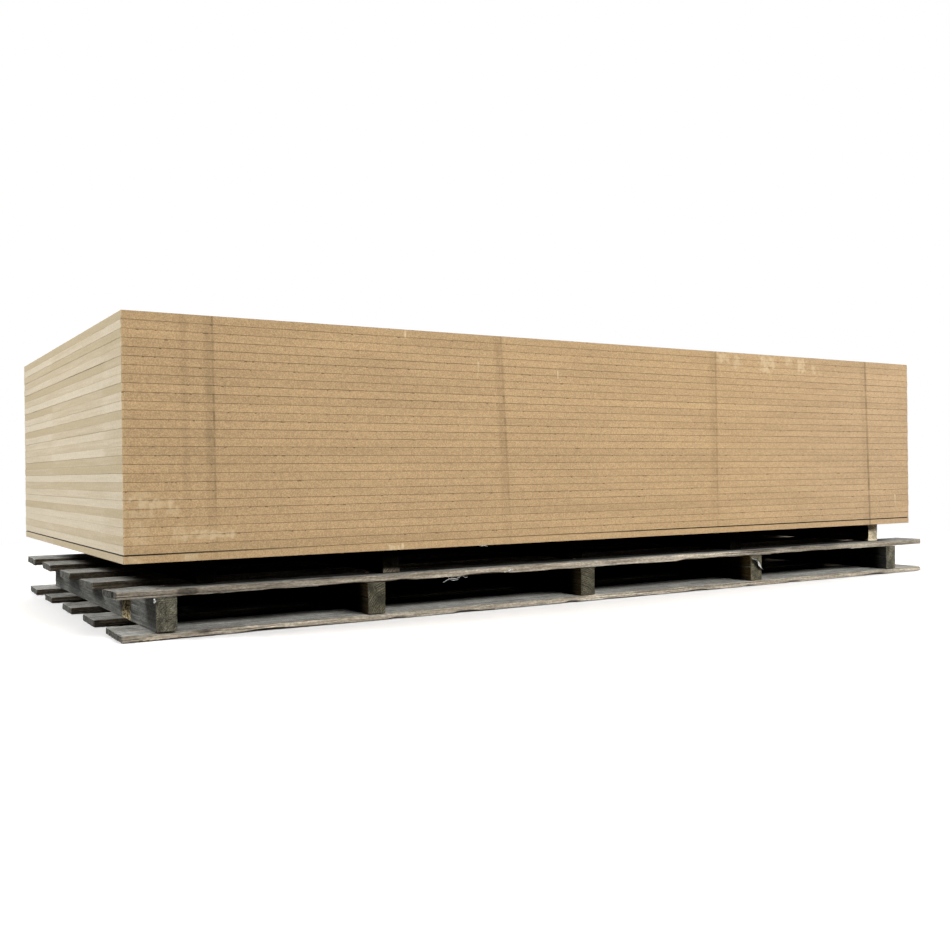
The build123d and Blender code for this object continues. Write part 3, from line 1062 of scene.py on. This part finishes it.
def nail_heads(name, planks, upward, material):
    """The heads of the nails through a deck's planks, two at each stringer."""
    head, rows = nail_shape()
    flip = np.array((1.0, 1.0, 1.0 if upward else -1.0))
    points, faces = [], []
    for plank, stringer in itertools.product(planks, STRINGERS):
        low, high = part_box(plank)
        left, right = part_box(stringer)
        for share_x, share_y in NAIL_SHARES:
            x = left.x + (right.x - left.x) * share_x
            y = low.y + (high.y - low.y) * share_y
            place = np.array((x, y, high.z - NAIL_SINK if upward else low.z + NAIL_SINK))
            start = len(points) * len(head)
            points.append(place + head * flip)
            for row in rows:
                faces.extend((row if upward else row[:, ::-1]) + start)
    piece = build_piece(name, np.concatenate(points), faces, material)


def build_camera():
    """The camera at the photograph's viewpoint."""
    data = bpy.data.cameras.new("camera")
    data.sensor_fit = "HORIZONTAL"
    data.sensor_width = CAMERA_SENSOR_MM
    data.lens = CAMERA_SENSOR_MM * FOCAL_PIXELS / FRAME_PIXELS
    data.clip_end = CAMERA_CLIP
    camera = new_object("camera", data)
    heading = Matrix.Rotation(-CAMERA_HEADING, 4, "Z")
    pitch = Matrix.Rotation(math.pi / 2 + CAMERA_PITCH, 4, "X")
    roll = Matrix.Rotation(CAMERA_ROLL, 4, "Z")
    pack_foot = Vector((PACK_MIDDLE_X, 0.0, PACK_LOW.z))
    camera.matrix_world = Matrix.Translation(pack_foot + CAMERA_FROM_PACK) @ heading @ pitch @ roll
    bpy.context.scene.camera = camera


def area_light(name, place, target, size, power):
    """A large soft lamp that faces a point."""
    data = bpy.data.lights.new(name, "AREA")
    data.shape = "RECTANGLE"
    data.size, data.size_y = size
    data.energy = power
    lamp = new_object(name, data)
    lamp.location = place
    lamp.rotation_euler = (Vector(target) - Vector(place)).to_track_quat("-Z", "Y").to_euler()


def build_world():
    """White to the eye. Its light is a soft sky overhead, and a little from low on the left."""
    world = bpy.data.worlds.new("world")
    bpy.context.scene.world = world
    s = Shader(world)
    x, y, z = s.split(s.node("TexCoord", {}, output="Generated"))
    overhead = s.fade(z, 0.50, 0.95, 0, SKY_OVERHEAD)
    leftward = s.vary(s.fade(x, -0.50, -0.90, 0, SKY_LEFT), z, 0.05, 0.30, 0, 1)
    sky = s.tree.nodes["Background"]
    s.feed(sky.inputs["Color"], WHITE)
    s.feed(sky.inputs["Strength"], s.add(overhead, leftward))
    white = s.node("Background", {"Color": WHITE})
    chosen = s.node("MixShader", {0: s.seen(), 1: sky.outputs[0], 2: white})
    s.feed(s.tree.nodes["World Output"].inputs["Surface"], chosen)


# The floor: half size, how far it lies under the object, and where it turns plain white
FLOOR_HALF = 60.0
FLOOR_DROP = 0.0005
FLOOR_WHITE = (1.6, 3.2)
# A painted shadow darkens it under the pallet: middle along X, half length and half width, and how softly
UNDER_DECK_MIDDLE = 0.030
UNDER_DECK_HALVES = (1.219, 0.520)
UNDER_DECK_BLUR = 0.040


def shadow_under_deck(s):
    """Where the painted shadow lies: 1 on the floor that the pallet stands over and 0 outside it."""
    x, y, z = s.split(s.place())
    half_x, half_y = UNDER_DECK_HALVES
    inside = s.fade(s.apart(x, UNDER_DECK_MIDDLE), half_x, half_x + UNDER_DECK_BLUR, 1, 0)
    return s.vary(inside, s.calc("ABSOLUTE", y), half_y, half_y + UNDER_DECK_BLUR, 1, 0)


def floor_material():
    """Pale and matt near the object, with a painted shadow under the pallet, plain white further out, with
    little light back from it.
    """
    s = new_material("floor")
    s.tree.nodes.remove(s.tree.nodes["Principled BSDF"])
    pale = s.node("BsdfDiffuse", {"Color": s.mix(shadow_under_deck(s), FLOOR_PALE, FLOOR_SHADED)})
    glow = s.node("Emission", {"Color": WHITE})
    shown = s.node("MixShader", {0: s.fade(s.length(s.place()), *FLOOR_WHITE), 1: pale, 2: glow})
    bounce = s.node("BsdfDiffuse", {"Color": FLOOR_BOUNCE})
    chosen = s.node("MixShader", {0: s.seen(), 1: bounce, 2: shown})
    s.feed(s.tree.nodes["Material Output"].inputs["Surface"], chosen)
    return s.owner


def build_floor():
    """A pale floor that keeps the shadow near the object."""
    mesh = bpy.data.meshes.new("floor")
    corners = [(FLOOR_HALF * x, FLOOR_HALF * y, 0.0) for x, y in ((-1, -1), (1, -1), (1, 1), (-1, 1))]
    mesh.from_pydata(corners, [], [(0, 1, 2, 3)])
    mesh.materials.append(floor_material())
    floor = new_object("floor", mesh)
    floor.location.z = cad_box[0][2] - FLOOR_DROP


def dress(node, material):
    """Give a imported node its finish."""
    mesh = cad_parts[node].data
    mesh.materials.clear()
    mesh.materials.append(material)


def build_bearers():
    """Sawn bearers, pale at the right end, with painted shade where the pack covers them."""
    timber = timber_material(
        "bearer_timber",
        top=(0.40, 0.32, 0.20), side=(0.40, 0.31, 0.19),
        under=(0.33, 0.24, 0.13), end=(0.44, 0.372, 0.256),
        wear=0.45, mottle=0.35, dullness=0.78, lean=(0.12, 0.0, 0.16), dim=0.03,
    )
    for number, name in enumerate(BEARERS):
        rough_timber(
            name, 1, BEARER_SEED + number, timber, "bearer_timber", BEARER_SHADE_TONES[number],
            sawn=True, worn=HIDDEN_WEAR,
        )


def build_stringers():
    """Stringers, brown inside the pallet and grey at its two ends, with painted shade under the pack. The
    left one is torn.
    """
    # Painted shade under the pack, at its darkest on the stringers.
    shade_settings = {"from_side": STRINGER_FROM_SIDE, "lean": (0.25, 0.25, 0.0), "dim": DARKEST_LIGHT}
    inner = timber_material(
        "stringer_timber",
        top=(0.22, 0.215, 0.19), side=(0.110, 0.072, 0.024),
        under=(0.12, 0.080, 0.042), end=(0.100, 0.090, 0.058),
        wear=0.8, mottle=0.8, dullness=0.45, **shade_settings,
    )
    outer = timber_material(
        "outer_timber",
        top=(0.22, 0.215, 0.19), side=(0.090, 0.091, 0.083),
        under=(0.07, 0.068, 0.060), end=(0.102, 0.094, 0.066),
        wear=0.7, mottle=0.9, dullness=0.14, **shade_settings,
    )
    for number, name in enumerate(STRINGERS):
        timber = outer if number in OUTER_STRINGERS else inner
        rough_timber(
            name, 1, STRINGER_SEED + number, timber, "pallet_timber", STRINGER_TONES[number],
            sawn=True, worn=HIDDEN_WEAR, follow=number == 0,
        )


def build_decks():
    """Weathered planks of both decks, with painted shade under the pack. The front top one is split, the
    front bottom one rubbed bare.
    """
    timber = timber_material(
        "plank_timber",
        top=(0.335, 0.330, 0.300), side=(0.440, 0.382, 0.297),
        under=(0.17, 0.113, 0.062), end=(0.055, 0.054, 0.046),
        wear=0.65, mottle=0.38, dullness=0.35, kerf=0.17, middle_pale=1.42, lean=(0.25, 0.0, 0.0),
    )
    decks = (
        (TOP_PLANKS, TOP_SEED, TOP_TONES, {"follow": True, "extra": SPLIT_LINES}),
        (BOTTOM_PLANKS, BOTTOM_SEED, BOTTOM_TONES, {"bare": BARE_EDGE}),
    )
    for planks, seed, tones, at_front in decks:
        for number, name in enumerate(planks):
            own = at_front if number == 0 else {"worn": HIDDEN_WEAR}
            rough_timber(
                name, 0, seed + number, timber, "pallet_timber", tones[number], CRACK_COUNTS, **own
            )


build_camera()
build_world()
build_floor()
for name, settings in LAMPS.items():
    area_light(name, *settings)

mdf = mdf_material()
for name in BOARDS:
    dress(name, mdf)
build_bearers()
build_stringers()
build_decks()
nail = nail_material()
nail_heads("top_nails", TOP_PLANKS, True, nail)
nail_heads("bottom_nails", BOTTOM_PLANKS, False, nail)
film = film_material()
for name, (slot, width, points) in SCRAPS.items():
    ribbon(name, width, points, film)

bpy.context.scene.view_settings.view_transform = "Standard"
